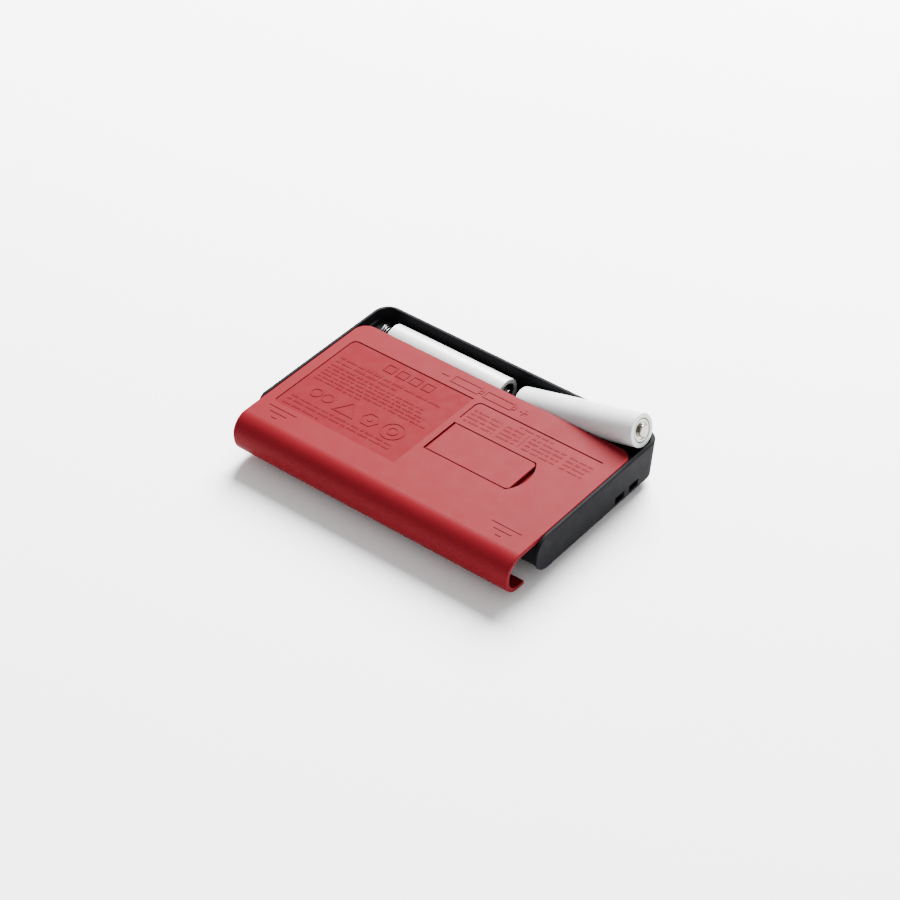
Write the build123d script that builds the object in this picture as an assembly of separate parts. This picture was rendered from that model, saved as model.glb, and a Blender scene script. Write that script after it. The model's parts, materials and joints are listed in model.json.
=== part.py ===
from build123d import *
import math
import os

# Pocket metronome, lying on its front: +X along the long side, +Y towards the battery bay, +Z up.
# The origin is on the front panel's flat face, below the middle of the case. All sizes in mm.

# ---------------------------------------------------------------- case
case_length = 104.0           # along X, outside the two side cheeks
front_depth = 46.8            # along Y, from the cheeks' nose to the battery bay's near wall
case_corner_radius = 5.5      # the far corners, seen from above
cheek_wall = 1.1              # side wall beside the cover
case_wall = 1.8               # side wall below the deck
far_wall = 1.2
side_draft = 0.65             # how much narrower each wall is at its lower edge
cheek_top_radius = 5.4
cheek_bottom_radius = 6.0
cheek_edge = 0.35
nose_wall = 4.1               # solid part of the case behind the cover's nose
nose_floor = 1.2
deck_wall = 1.3
ledge_width = 2.0             # ledges the cover's edges slide on
slide_gap = 0.2
edge_gap = 0.25
moving_gap = 0.3
partition_wall = 1.3          # between the battery bay and the electronics
screw_clearance = 0.15
bite = 0.1                    # how far joined shapes run into each other
beyond = 10.0                 # how far cutters run past the body

# ---------------------------------------------------------------- front panel
panel_crown = 3.0             # how far the panel stands proud of the walls
panel_wall = 1.8
panel_reveal = 0.35           # step between the walls' lower edge and the panel
panel_slope = 2.7             # 45 degree border
panel_corner_radius = 5.0
panel_lip_height = 1.5
panel_lip_wall = 1.0
panel_tray_inset = 2.0        # the tray's far inside, from the panel's far edge
panel_near_gap = 0.6          # the panel to the closed cover's hook
panel_end_gap = 0.6           # its lip to the nose wall
chamber_gap = 0.3
fit_gap = 0.1

# ---------------------------------------------------------------- battery cells and bay
cell_diameter = 10.4
cell_length = 44.5            # over the nub
nub_length = 0.9
nub_radius = 1.9
nub_step_radius = 3.4
nub_step_height = 0.35
cap_groove_radii = (2.3, 2.75)
cap_groove_depth = 0.25
label_wall = 0.2
can_wall = 0.35
seal_depth = 0.5
seal_wall = 1.2
shrink_ring_width = 1.2       # label folded over the end's edge
label_edge = 0.25
bay_floor_wall = 1.1
bay_floor_rise = 0.5          # bay floor above the panel's rim
bay_end_wall = 0.2            # how much thicker the walls are at the bay's ends
bay_corner_radius = 2.5
cell_floor_gap = 0.3
cell_roof_gap = 0.3
cell_side_gap = 0.3
cell_near_gap = 0.2
raise_angle = 15.0            # tilt of the raised cell
raise_shift = 4.7             # how far its lower end moves along the bay
raise_gap = 0.5               # its raised end edge to the right cheek
cell_to_cell_gap = 1.0
contact_gap = 1.9
spring_turns = 5
spring_wire = 0.35
spring_length = 4.3
spring_end_radius = 3.4
spring_tip_radius = 2.0
spring_tip_gap = 0.1
spring_plate_half = 4.2
spring_plate_rise = 2.0
spring_block_rise = 2.2
spring_block_far_gap = 1.6
contact_plate = 0.4
contact_rise = 1.0
contact_floor_gap = 0.2
contact_block_rise = 1.2
contact_block_far_gap = 2.4
contact_dimple_radius = 1.4
contact_dimple_height = 0.3
contact_dimple_drop = 1.0
catch_positions = (-8.6, -4.6)
catch_size = 1.2
catch_height = 0.2
catch_depth = 1.6             # below the rim

# ---------------------------------------------------------------- battery cover
cover_plate = 1.2
cover_hook_wall = 1.4
cover_top_radius = 6.0
cover_bottom_radius = 6.4
cover_overhang = 1.35         # the closed cover's nose beyond the cheeks
cover_drop = 0.7              # its hook below the walls' lower edge
cover_lip = 2.2               # flat end of the hook, under the nose
cover_corner_radius = 4.6
cover_edge = 0.35
cover_cell_gap = 0.25         # the open cover's far edge to the raised cell
guide_rib_width = 1.2
guide_rib_depth = 1.2
guide_rib_margin = 3.0        # from the nose's curve
guide_rib_far = 11.5          # from the cover's far edge
groove_width = 0.5
groove_depth = 0.3
mark_width = 0.45
mark_height = 0.14

# Marks on the cover, measured from its middle and from its far edge
frame_corner_radius = 1.8
left_frame = ((-46.7, 44.9), (-46.7, 8.8), (-1.2, 8.8))
right_frame = ((1.0, 17.9), (1.0, 8.9), (45.8, 8.9))
symbol_row = 4.75             # battery symbols' distance from the far edge
symbol_length = 10.3
symbol_width = 3.4
symbol_nub_length = 1.2
symbol_nub_width = 1.8
symbol_starts = (-12.0, 0.0)
minus_place = -14.8
plus_place = 14.3
sign_size = 2.6
grip_columns = (-41.6, 40.9)
grip_first_row = 47.5
grip_pitch = 2.1
grip_lengths = (10.2, 6.1, 1.8)

# ---------------------------------------------------------------- stand
stand_thickness = 1.5
stand_width = 14.1
stand_hinge_x = 2.0
stand_end_x = 31.35
stand_corner_radius = 1.5
stand_edge = 0.15
stand_far_edge = 20.8         # from the cover's far edge
stand_gap = 0.3
pocket_floor = 0.9
pocket_wall = 1.0
pocket_floor_gap = 0.2
pocket_under_gap = 0.4        # pocket to the deck below
notch_start = 0.6             # the finger notch begins this far before the stand's end
notch_end = 2.0               # notch width at its middle
pin_radius = 0.45
pin_length = 0.9
running_gap = 0.05

# ---------------------------------------------------------------- controls, along Y from front_y
front_line = 16.7             # front_y is this far before the battery bay's near wall
key_row_offset = -13.5
key_row = (
    ("key_power", -35.0),
    ("key_beat", -21.0),
    ("key_rhythm", -7.0),
    ("key_start_stop", 7.0),
    ("key_tap", 21.0),
    ("key_tone", 35.0),
)
key_column_x = 9.0
key_column = (("key_tempo_up", 7.5), ("key_tempo_down", -1.5))
key_length = 9.6
key_width = 5.4
key_crown = 0.25
key_recess = 0.25             # cap below the resting face
key_flange = 0.7
key_flange_height = 0.8
key_stem_radius = 1.6
dome_radius = 2.2
key_travel = 0.6
dish_depth = 0.7
dish_margin = 2.2
dish_corner = 3.5

board_z = 5.6                 # board's face towards the panel
board_wall = 1.0
board_edge_gap = 2.4          # board to the walls round it
board_blocks = (
    ("main_chip", (-14.0, 2.0), (9.0, 9.0, 1.4), 0.3),
    ("amplifier_chip", (9.0, -8.0), (5.0, 4.0, 1.3), 0.2),
    ("quartz_crystal", (-14.0, -9.0), (7.5, 3.0, 2.4), 1.45),
)
capacitor_places = ((2.0, 9.0), (8.0, 9.0))
capacitor_radius = 2.0
capacitor_height = 4.2
mat_wall = 1.0
mat_margin = 1.5
dome_height = 0.35
window_place = (-28.0, 4.0)
window_size = (34.0, 18.0)
window_corner = 1.5
lens_corner = 2.2
lens_ledge = 1.2
lens_recess = 0.15
lens_wall = 0.9
display_size = (40.0, 23.0)
display_wall = 2.6
rubber_strip_width = 1.6
rubber_strip_inset = 2.0

speaker_place = (28.0, 5.0)
speaker_radius = 11.0
speaker_height = 3.6
speaker_gasket = 0.4
gasket_width = 1.4
basket_wall = 0.6
basket_ledge = 1.5
cone_height = 1.4
cone_middle_radius = 2.4
cone_wall = 0.2
magnet_radius = 6.5
magnet_height = 2.3
grille_hole_radius = 0.65
grille_pitch = 2.3
grille_rings = 3

lamp_row_offset = 14.9
lamp_columns = (5.5, 12.5)
lamp_radius = 1.2
lamp_lens_height = 0.3        # behind the panel
lamp_size = (1.6, 1.2, 1.1)   # along X, along Y, along Z

dial_radius = 7.5
dial_height = 2.4
dial_offset = 5.0
dial_proud = 1.2
dial_notches = 36
dial_notch_radius = 0.28
dial_edge = 0.25
dial_bore = 1.1
dial_lift = 1.2               # dial above the board
dial_slot_gap = 0.4
dial_slot_inset = 0.3
pot_size = 8.0
pot_height = 0.9
pot_corner = 0.8
jack_offset = -12.4
jack_size = (12.0, 6.4, 4.4)  # length, width, height
jack_bore = 1.85
jack_nose_radius = 2.3
jack_nose_recess = 0.5
jack_wall_gap = 0.4
jack_wall_hole = 2.4
jack_end_wall = 1.2

post_offsets = ((-44.5, -18.5), (44.5, -18.5), (-4.0, 14.5), (43.3, 13.0))
post_radius = 2.2
post_floor = 1.5
screw_radius = 1.0
screw_head_radius = 1.8
screw_head_height = 1.1
screw_head_edge = 0.4
cross_length = 2.2
cross_width = 0.45
cross_depth = 0.5
screw_length = 7.0

strap_slot = (4.6, 2.6)       # along Y, along Z
strap_slot_rows = (13.1, 20.1)  # slot centres, from the far wall's outer face
strap_slot_height = 2.1       # slot centre above the walls' lower edge
strap_chamber = 1.9
strap_wall = 1.0

# ---------------------------------------------------------------- worked out from the sizes above
half_length = case_length / 2
bay_depth = cell_near_gap + cell_diameter + cell_side_gap
case_depth = front_depth + partition_wall + bay_depth + far_wall
far_y = case_depth / 2
nose_y = -case_depth / 2
wall_z = panel_crown
cell_radius = cell_diameter / 2
bay_floor_z = wall_z + bay_floor_rise
cell_z = bay_floor_z + cell_floor_gap + cell_radius
cover_under_z = cell_z + cell_radius + cell_roof_gap
rim_z = cover_under_z + cover_plate
pocket_depth = stand_thickness + pocket_floor_gap
deck_z = rim_z - pocket_depth - pocket_floor - pocket_under_gap
deck_under_z = deck_z - deck_wall
bay_far_y = far_y - far_wall
cell_y = bay_far_y - cell_side_gap - cell_radius
bay_near_y = cell_y - cell_radius - cell_near_gap
cheek_x = half_length - cheek_wall
wall_x = half_length - case_wall
partition_y = bay_near_y - partition_wall
inner_x = wall_x - side_draft / 2
tray_x = inner_x - fit_gap - panel_lip_wall
tray_corner_radius = panel_corner_radius - panel_tray_inset

cover_half_width = cheek_x - edge_gap
cover_far_closed = bay_far_y - slide_gap
cover_nose_closed = nose_y - cover_overhang
cover_bottom_z = wall_z - cover_drop
cover_lip_closed = cover_nose_closed + cover_bottom_radius + cover_lip
ledge_z = cover_under_z - slide_gap
nose_core_z = cover_bottom_z + cover_hook_wall + moving_gap
nose_core_y = cover_nose_closed + cover_hook_wall + moving_gap
panel_near_y = cover_lip_closed + panel_near_gap
panel_half = half_length - side_draft - panel_reveal
panel_far_y = far_y - side_draft - panel_reveal
tray_far_y = panel_far_y - panel_tray_inset

cell_body = cell_length - nub_length
lowered_end_x = cheek_x - raise_gap - raise_shift - cell_body * math.cos(math.radians(raise_angle))
lowered_end_x = lowered_end_x - cell_radius * math.sin(math.radians(raise_angle))
left_cell_x = lowered_end_x - cell_to_cell_gap - cell_length
swing_x = lowered_end_x + raise_shift / 2
swing_z = cell_z + raise_shift / 2 / math.tan(math.radians(raise_angle / 2))
spring_block_x = left_cell_x - spring_tip_gap - spring_length - contact_plate
contact_x = lowered_end_x + cell_length + contact_gap
chamber_far_y = far_y - min(strap_slot_rows) + strap_slot[0] / 2 + strap_wall
contact_half_width = cell_y - chamber_far_y - fit_gap
bay_x = wall_x - bay_end_wall
cover_opening = cover_far_closed - (cell_y - cell_radius) + cover_cell_gap

front_y = partition_y - front_line
key_row_y = front_y + key_row_offset
column_near_y = front_y + key_column[1][1]
column_far_y = front_y + key_column[0][1]
window_centre = (window_place[0], front_y + window_place[1])
speaker_centre = (speaker_place[0], front_y + speaker_place[1])
lamp_row_y = front_y + lamp_row_offset
post_places = [(x, front_y + y) for x, y in post_offsets]
dial_y = front_y + dial_offset
dial_centre = (-half_length - dial_proud + dial_radius, dial_y)
dial_bottom_z = board_z + board_wall + dial_lift
jack_y = front_y + jack_offset
jack_z = board_z + board_wall + jack_size[2] / 2
jack_start_x = -wall_x + side_draft + jack_wall_gap


def box_between(low, high):
    """Box from its lowest corner to its highest corner."""
    size = [b - a for a, b in zip(low, high)]
    middle = [(a + b) / 2 for a, b in zip(low, high)]
    return Pos(*middle) * Box(*size)


def drum(centre, radius, bottom_z, top_z):
    """Upright cylinder."""
    height = top_z - bottom_z
    return Pos(centre[0], centre[1], bottom_z + height / 2) * Cylinder(radius, height)


def rod(start_x, end_x, radius, centre_y, centre_z):
    """Cylinder along X."""
    middle = Pos((start_x + end_x) / 2, centre_y, centre_z)
    return middle * Rot(0, 90, 0) * Cylinder(radius, end_x - start_x)


def slab(centre, size, radius, bottom_z, top_z):
    """Upright plate with rounded corners."""
    outline = Pos(centre[0], centre[1], bottom_z) * RectangleRounded(size[0], size[1], radius)
    return extrude(outline, amount=top_z - bottom_z)


def plan_outline(half_width, near_y, distant_y, corner_radius):
    """Rectangle seen from above with its two far corners rounded."""
    sheet = Pos(0, (near_y + distant_y) / 2) * Rectangle(2 * half_width, distant_y - near_y)
    return fillet(sheet.vertices().group_by(Axis.Y)[-1], corner_radius)


def plan_block(half_width, near_y, distant_y, corner_radius, bottom_z, top_z):
    """Upright block on that outline."""
    outline = plan_outline(half_width, near_y, distant_y, corner_radius)
    return extrude(Pos(0, 0, bottom_z) * outline, amount=top_z - bottom_z)


def nose_outline(tip_y, end_y, bottom_z, top_z, bottom_radius, top_radius):
    """Side view of a plate or body with a rounded nose at tip_y and a square end at end_y."""
    lower = CenterArc((tip_y + bottom_radius, bottom_z + bottom_radius), bottom_radius, 180, 90)
    upper = CenterArc((tip_y + top_radius, top_z - top_radius), top_radius, 90, 90)
    edges = [
        lower,
        Line(lower @ 1, (end_y, bottom_z)),
        Line((end_y, bottom_z), (end_y, top_z)),
        Line((end_y, top_z), upper @ 0),
        upper,
        Line(upper @ 1, lower @ 0),
    ]
    return Plane.YZ * make_face(edges)


def across(outline, half_width):
    """Extrude a side view both ways along X."""
    return extrude(outline, amount=half_width, both=True)


def save(name, shape):
    """Write one sub-part."""
    export_step(shape, f"parts/{name}.step")


# ---------------------------------------------------------------- case
def make_drafted_body():
    """Outer body: side walls that lean in towards the front, bevelled rim, rounded nose."""
    beyond_nose = nose_y - beyond
    shoulder_z = rim_z - cheek_edge
    low = plan_outline(half_length - side_draft, beyond_nose, far_y - side_draft, case_corner_radius)
    high = plan_outline(half_length, beyond_nose, far_y, case_corner_radius)
    inset_radius = case_corner_radius - cheek_edge
    top = plan_outline(half_length - cheek_edge, beyond_nose, far_y - cheek_edge, inset_radius)
    body = loft([Pos(0, 0, wall_z) * low, Pos(0, 0, shoulder_z) * high], ruled=True)
    body += loft([Pos(0, 0, shoulder_z) * high, Pos(0, 0, rim_z) * top], ruled=True)
    cheeks = nose_outline(
        nose_y, far_y + beyond, wall_z, rim_z, cheek_bottom_radius, cheek_top_radius
    )
    return body & across(cheeks, half_length + beyond)


def make_cover_space():
    """Space above the deck and around the nose that the cover fills when it is closed."""
    above_deck = plan_block(
        cheek_x, nose_y - beyond, bay_far_y, cover_corner_radius + slide_gap, deck_z, rim_z + beyond
    )
    nose_zone = box_between(
        (-cheek_x, nose_y - beyond, wall_z - beyond),
        (cheek_x, cover_lip_closed + moving_gap, rim_z + beyond),
    )
    core = nose_outline(
        nose_core_y, far_y, nose_core_z, ledge_z,
        cover_bottom_radius - cover_hook_wall - moving_gap,
        cover_top_radius - cover_plate - moving_gap,
    )
    ledge_inner_x = cheek_x - ledge_width
    ledges = box_between((-cheek_x, nose_y - beyond, deck_z), (cheek_x, bay_near_y, ledge_z))
    ledges -= box_between((-ledge_inner_x, nose_y - 2 * beyond, 0), (ledge_inner_x, far_y, rim_z))
    space = above_deck - (ledges & across(core, cheek_x))
    return space + (nose_zone - across(core, cheek_x))


def make_strap_chamber():
    """Room behind the two strap slots, and the slots themselves."""
    slot_y, slot_z = strap_slot
    centre_z = wall_z + strap_slot_height
    rows = [far_y - distance for distance in strap_slot_rows]
    chamber = box_between(
        (wall_x - strap_chamber, min(rows) - slot_y / 2, centre_z - slot_z / 2),
        (wall_x, max(rows) + slot_y / 2, centre_z + slot_z / 2),
    )
    slots = [
        box_between(
            (wall_x - bite, row - slot_y / 2, centre_z - slot_z / 2),
            (half_length + beyond, row + slot_y / 2, centre_z + slot_z / 2),
        )
        for row in rows
    ]
    block = box_between(
        (wall_x - strap_chamber - strap_wall, min(rows) - slot_y / 2 - strap_wall, wall_z),
        (wall_x + bite, chamber_far_y, centre_z + slot_z / 2 + strap_wall),
    )
    return block, chamber, slots


def make_bay_blocks():
    """Moulded blocks that carry the spring and the nub contact."""
    spring_block = box_between(
        (-bay_x - bite, bay_near_y - bite, bay_floor_z - bite),
        (spring_block_x, bay_far_y - spring_block_far_gap, cell_z + spring_block_rise),
    )
    contact_block = box_between(
        (contact_x + contact_plate, cell_y - contact_half_width, bay_floor_z - bite),
        (bay_x + bite, bay_far_y - contact_block_far_gap, cell_z + contact_block_rise),
    )
    return spring_block + contact_block


def make_catches():
    """Two small catches on the far wall that hold the closed cover."""
    catches = [
        box_between(
            (place - catch_size / 2, bay_far_y - catch_height, rim_z - catch_depth - catch_size),
            (place + catch_size / 2, bay_far_y + bite, rim_z - catch_depth),
        )
        for place in catch_positions
    ]
    return catches


def make_dial_slot():
    """Slot in the left wall for the volume dial."""
    half_width = dial_radius - dial_slot_inset
    return box_between(
        (-half_length - beyond, dial_y - half_width, dial_bottom_z - dial_slot_gap),
        (dial_centre[0], dial_y + half_width, dial_bottom_z + dial_height + dial_slot_gap),
    )


def make_case_shell():
    """Case: side cheeks, far wall, deck under the cover and the battery bay."""
    shell = make_drafted_body() - make_cover_space()
    shell -= box_between(
        (-inner_x, panel_near_y, wall_z - beyond), (inner_x, partition_y, deck_under_z)
    )
    nose_inside = (-inner_x, nose_core_y + nose_wall, nose_core_z + nose_floor)
    shell -= box_between(nose_inside, (inner_x, panel_near_y + bite, deck_under_z))
    shell -= plan_block(
        bay_x, bay_near_y, bay_far_y, bay_corner_radius, bay_floor_z, rim_z + beyond
    )
    shell += plan_block(
        tray_x - moving_gap, partition_y, tray_far_y - moving_gap, tray_corner_radius,
        bay_floor_z - bay_floor_wall, bay_floor_z,
    )
    block, chamber, slots = make_strap_chamber()
    shell += block
    shell -= chamber
    for slot in slots:
        shell -= slot
    shell += make_bay_blocks()
    for catch in make_catches():
        shell += catch
    for place in post_places:
        shell -= drum(place, screw_radius + screw_clearance, deck_under_z - beyond, deck_z + beyond)
    shell -= make_dial_slot()
    shell -= rod(-half_length - beyond, jack_start_x + 2 * bite, jack_wall_hole, jack_y, jack_z)
    return shell


# ---------------------------------------------------------------- front panel
def make_key_outline(grow, x, y, turned):
    """Rounded key outline, a little larger all round by grow."""
    long_side, short_side = (key_width, key_length) if turned else (key_length, key_width)
    sizes = (long_side + 2 * grow, short_side + 2 * grow)
    radius = min(sizes) / 2 - 0.05
    return Pos(x, y) * RectangleRounded(sizes[0], sizes[1], radius)


def key_places():
    """Name, place and direction of every key."""
    row = [(name, x, key_row_y, False) for name, x in key_row]
    column = [(name, key_column_x, front_y + y, False) for name, y in key_column]
    return row + column


def grille_places():
    """Centres of the speaker grille's holes: rings of six, twelve and eighteen round one."""
    places = [speaker_centre]
    for ring in range(1, grille_rings + 1):
        for step in range(6 * ring):
            angle = math.radians(360 * step / (6 * ring))
            x = speaker_centre[0] + ring * grille_pitch * math.cos(angle)
            y = speaker_centre[1] + ring * grille_pitch * math.sin(angle)
            places.append((x, y))
    return places


def make_panel_plate():
    """Panel with its sloped border, before anything is cut."""
    low = plan_outline(
        panel_half - panel_slope, panel_near_y + panel_slope, panel_far_y - panel_slope,
        panel_corner_radius,
    )
    high = plan_outline(panel_half, panel_near_y, panel_far_y, panel_corner_radius)
    sloped = loft([low, Pos(0, 0, panel_slope) * high], ruled=True)
    border = plan_block(
        panel_half, panel_near_y, panel_far_y, panel_corner_radius, panel_slope, wall_z
    )
    return sloped + border


def make_panel_tray():
    """Hollow behind the panel: one part inside the lip, one under the battery bay."""
    lip_top_z = wall_z + panel_lip_height
    lip_end_y = partition_y - fit_gap - panel_lip_wall
    tray = box_between(
        (-tray_x, panel_near_y + panel_end_gap + panel_lip_wall, panel_wall),
        (tray_x, lip_end_y, lip_top_z + beyond),
    )
    return tray + plan_block(
        tray_x, lip_end_y - bite, tray_far_y, tray_corner_radius, panel_wall, lip_top_z + beyond
    )


def make_key_dishes():
    """Shallow dishes round the row and the column of keys."""
    row_length = key_row[-1][1] - key_row[0][1] + key_length + 2 * dish_margin
    row = slab((0, key_row_y), (row_length, key_width + 2 * dish_margin), dish_corner, -bite, dish_depth)
    column_length = column_far_y - column_near_y + key_width + 2 * dish_margin
    centre = (key_column_x, (column_near_y + column_far_y) / 2)
    column = slab(
        centre, (key_length + dish_margin, column_length), dish_corner, -bite, dish_depth
    )
    return row + column


def make_window_cuts():
    """Display window with a ledge for its lens."""
    width, height = window_size
    ledge = (width + 2 * lens_ledge, height + 2 * lens_ledge)
    opening = slab(window_centre, window_size, window_corner, -bite, panel_wall + bite)
    return opening + slab(window_centre, ledge, lens_corner, -bite, lens_recess + lens_wall)


def make_front_panel():
    """Tray that closes the front: sloped border, key dishes, window, grille and screw posts."""
    lip_top_z = wall_z + panel_lip_height
    lip_x = inner_x - fit_gap
    panel = make_panel_plate()
    panel += box_between(
        (-lip_x, panel_near_y + fit_gap, panel_slope), (lip_x, partition_y - fit_gap, lip_top_z)
    )
    panel -= make_panel_tray()
    chamber_y = far_y - max(strap_slot_rows) - strap_slot[0] / 2 - strap_wall - chamber_gap
    panel -= box_between(
        (wall_x - strap_chamber - strap_wall - chamber_gap, chamber_y, wall_z),
        (half_length, partition_y + beyond, lip_top_z + beyond),
    )
    panel -= make_key_dishes()
    for _, x, y, turned in key_places():
        hole = make_key_outline(edge_gap, x, y, turned)
        panel -= extrude(Pos(0, 0, -bite) * hole, amount=panel_wall + 2 * bite)
    panel -= make_window_cuts()
    for place in grille_places():
        panel -= drum(place, grille_hole_radius, -bite, panel_wall + bite)
    for x in lamp_columns:
        panel -= drum((x, lamp_row_y), lamp_radius + running_gap, -bite, panel_wall + bite)
    for place in post_places:
        panel += drum(place, post_radius, panel_wall - bite, deck_under_z - fit_gap)
        panel -= drum(place, screw_radius, panel_wall + post_floor, deck_under_z + beyond)
    return panel


def make_key(x, y, turned):
    """Key cap with a retaining flange and a stem towards the rubber mat."""
    flange_z = panel_wall + fit_gap
    outline = make_key_outline(0, x, y, turned)
    cap = extrude(Pos(0, 0, key_recess) * outline, amount=flange_z - key_recess + bite)
    cap = chamfer(cap.edges().group_by(Axis.Z)[0], key_crown)
    flange = extrude(
        Pos(0, 0, flange_z) * make_key_outline(key_flange, x, y, turned), amount=key_flange_height
    )
    stem_top_z = board_z - mat_wall - dome_height - key_travel - fit_gap
    return cap + flange + drum((x, y), key_stem_radius, flange_z, stem_top_z)


def make_keypad_mat():
    """Silicone mat between the keys and the board, with a dome under each key."""
    row_length = key_row[-1][1] - key_row[0][1] + key_length + 2 * mat_margin
    size = (row_length, key_width + 2 * mat_margin)
    mat = slab((0, key_row_y), size, mat_margin, board_z - mat_wall, board_z)
    mat += box_between(
        (key_column_x - key_length / 2, key_row_y, board_z - mat_wall),
        (key_column_x + key_length / 2, column_far_y + key_width / 2 + mat_margin, board_z),
    )
    for _, x, y, _ in key_places():
        mat += drum((x, y), dome_radius, board_z - mat_wall - dome_height, board_z)
    return mat


# ---------------------------------------------------------------- battery cover and stand
def cover_y(distance_from_far_edge):
    """Y of a line on the closed cover."""
    return cover_far_closed - distance_from_far_edge


def make_hook_section():
    """Side view of the cover: plate, rounded nose and hook."""
    outer = nose_outline(
        cover_nose_closed, cover_lip_closed, cover_bottom_z, rim_z,
        cover_bottom_radius, cover_top_radius,
    )
    inner = nose_outline(
        cover_nose_closed + cover_hook_wall, cover_lip_closed + bite,
        cover_bottom_z + cover_hook_wall, cover_under_z,
        cover_bottom_radius - cover_hook_wall, cover_top_radius - cover_plate,
    )
    return outer - inner


def make_pocket(grow, depth):
    """Stand's pocket outline with the bulging finger notch, from the cover's face down to depth."""
    half_width = stand_width / 2 + stand_gap + grow
    middle_y = cover_y(stand_far_edge + stand_width / 2)
    start_x = stand_hinge_x - stand_thickness / 2 - stand_gap - grow
    bulge_x = stand_end_x - notch_start
    notch_tip = stand_end_x + notch_end + grow
    bulge = ThreePointArc((bulge_x, -half_width), (notch_tip, 0), (bulge_x, half_width))
    outline = make_face([
        bulge,
        Line((bulge_x, half_width), (start_x, half_width)),
        Line((start_x, half_width), (start_x, -half_width)),
        Line((start_x, -half_width), (bulge_x, -half_width)),
    ])
    return extrude(Pos(0, middle_y, rim_z - depth) * outline, amount=depth)


def make_groove(corners):
    """Cutter for one L-shaped frame groove."""
    points = [(x, cover_y(distance)) for x, distance in corners]
    centre_line = FilletPolyline(*points, radius=frame_corner_radius)
    ribbon = trace(centre_line, line_width=groove_width)
    return extrude(Pos(0, 0, rim_z - groove_depth) * ribbon, amount=groove_depth + bite)


def make_bar(centre_x, distance, length, width):
    """Raised bar on the cover's face."""
    height = mark_height + bite
    return Pos(centre_x, cover_y(distance), rim_z - bite + height / 2) * Box(length, width, height)


def make_battery_symbol(start_x):
    """Raised outline of one cell with its nub."""
    middle = Pos(start_x + symbol_length / 2, 0) * Rectangle(symbol_length, symbol_width)
    middle -= Pos(start_x + symbol_length / 2, 0) * Rectangle(
        symbol_length - 2 * mark_width, symbol_width - 2 * mark_width
    )
    nub_x = start_x + symbol_length + symbol_nub_length / 2
    nub = Pos(nub_x, 0) * Rectangle(symbol_nub_length, symbol_nub_width)
    nub -= Pos(nub_x - mark_width, 0) * Rectangle(symbol_nub_length, symbol_nub_width - 2 * mark_width)
    outline = Pos(0, cover_y(symbol_row), rim_z - bite) * (middle + nub)
    return extrude(outline, amount=mark_height + bite)


def make_cover_marks():
    """Battery symbols, minus and plus signs, and the grip lines that point along the slide."""
    marks = [make_battery_symbol(start_x) for start_x in symbol_starts]
    marks.append(make_bar(minus_place, symbol_row, sign_size, mark_width))
    marks.append(make_bar(plus_place, symbol_row, sign_size, mark_width))
    marks.append(make_bar(plus_place, symbol_row, mark_width, sign_size))
    for column_x in grip_columns:
        for row, length in enumerate(grip_lengths):
            marks.append(make_bar(column_x, grip_first_row + row * grip_pitch, length, mark_width))
    return marks


def make_hook_draft():
    """Wedges off the two ends of the hook, so that they lean in like the side walls."""
    wedges = []
    for side in (-1, 1):
        upper = (side * cover_half_width, cover_under_z)
        lower = (side * (cover_half_width - side_draft), cover_bottom_z)
        outer_low = (side * half_length, cover_bottom_z)
        outer_high = (side * half_length, cover_under_z)
        outline = Plane.XZ * make_face(Polyline(upper, lower, outer_low, outer_high, close=True))
        wedges.append(extrude(outline, amount=case_depth, both=True))
    return wedges


def is_face_outline(edge):
    """True for the long edges round the cover's face, but not where it turns into the nose."""
    middle = edge.center()
    at_nose = middle.Y < cover_nose_closed + cover_top_radius + cover_edge and abs(middle.X) < 1
    return edge.length > 2 and not at_nose


def make_guide_ribs():
    """Two ribs under the cover that run along the inner sides of the case's ledges."""
    outer_x = cheek_x - ledge_width - edge_gap
    middle_x = outer_x - guide_rib_width / 2
    near_y = cover_nose_closed + cover_top_radius + guide_rib_margin
    length = cover_y(guide_rib_far) - near_y
    height = guide_rib_depth + bite
    rib = Box(guide_rib_width, length, height)
    centre_z = cover_under_z + bite - height / 2
    return [Pos(side * middle_x, near_y + length / 2, centre_z) * rib for side in (-1, 1)]


def make_hinge_line():
    """Place and direction of the stand's hinge."""
    middle_y = cover_y(stand_far_edge + stand_width / 2)
    return Pos(stand_hinge_x, middle_y, rim_z - stand_thickness / 2) * Rot(90, 0, 0)


def make_closed_cover():
    """Cover in its closed place."""
    cover = across(make_hook_section(), cover_half_width)
    for wedge in make_hook_draft():
        cover -= wedge
    cover += plan_block(
        cover_half_width, cover_lip_closed, cover_far_closed, cover_corner_radius,
        cover_under_z, rim_z,
    )
    face_edges = cover.edges().filter_by_position(Axis.Z, rim_z - bite, rim_z + bite)
    cover = fillet(face_edges.filter_by(is_face_outline), cover_edge)
    for rib in make_guide_ribs():
        cover += rib
    tub = make_pocket(pocket_wall, pocket_depth + pocket_floor)
    cover += tub & box_between((-half_length, nose_y, 0), (half_length, far_y, rim_z - cover_edge))
    cover -= make_pocket(0, pocket_depth)
    bore_length = stand_width + 2 * (pin_length + stand_gap + running_gap)
    cover -= make_hinge_line() * Cylinder(pin_radius + running_gap, bore_length)
    for corners in (left_frame, right_frame):
        cover -= make_groove(corners)
    for mark in make_cover_marks():
        cover += mark
    return cover


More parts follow.
